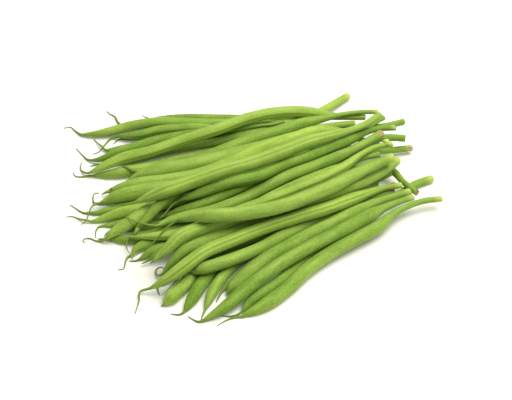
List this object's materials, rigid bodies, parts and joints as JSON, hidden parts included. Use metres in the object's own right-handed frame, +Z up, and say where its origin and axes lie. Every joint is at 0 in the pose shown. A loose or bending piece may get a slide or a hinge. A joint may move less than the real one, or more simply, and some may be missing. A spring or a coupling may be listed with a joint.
{
  "type": "green bean bundle",
  "caption": "Loose heap of fine whole green beans lying side by side, curly dry tails at one end and stem stubs at the other, resting flat on a surface as food.",
  "frame": {"origin": "middle of the heap's footprint, on the surface it lies on", "axes": "+Z up from the surface, +X along the beans from their tails to their stems"},
  "size_m": [0.2078, 0.194, 0.0301],
  "materials": {
    "pod": "satin"
  },
  "bodies": {
    "root": {"bean_01": "pod", "bean_02": "pod", "bean_03": "pod", "bean_04": "pod", "bean_05": "pod", "bean_06": "pod", "bean_07": "pod", "bean_08": "pod", "bean_09": "pod", "bean_10": "pod", "bean_11": "pod", "bean_12": "pod", "bean_13": "pod", "bean_14": "pod", "bean_15": "pod", "bean_16": "pod", "bean_17": "pod", "bean_18": "pod", "bean_19": "pod", "bean_20": "pod", "bean_21": "pod", "bean_22": "pod", "bean_23": "pod", "bean_24": "pod", "bean_25": "pod", "bean_26": "pod", "bean_27": "pod", "bean_28": "pod", "bean_29": "pod", "bean_30": "pod", "bean_31": "pod", "bean_32": "pod", "bean_33": "pod", "bean_34": "pod", "bean_35": "pod", "bean_36": "pod", "bean_37": "pod", "bean_38": "pod", "bean_39": "pod", "bean_40": "pod", "bean_41": "pod", "bean_42": "pod", "bean_43": "pod", "bean_44": "pod", "bean_45": "pod"}
  },
  "joints": []
}
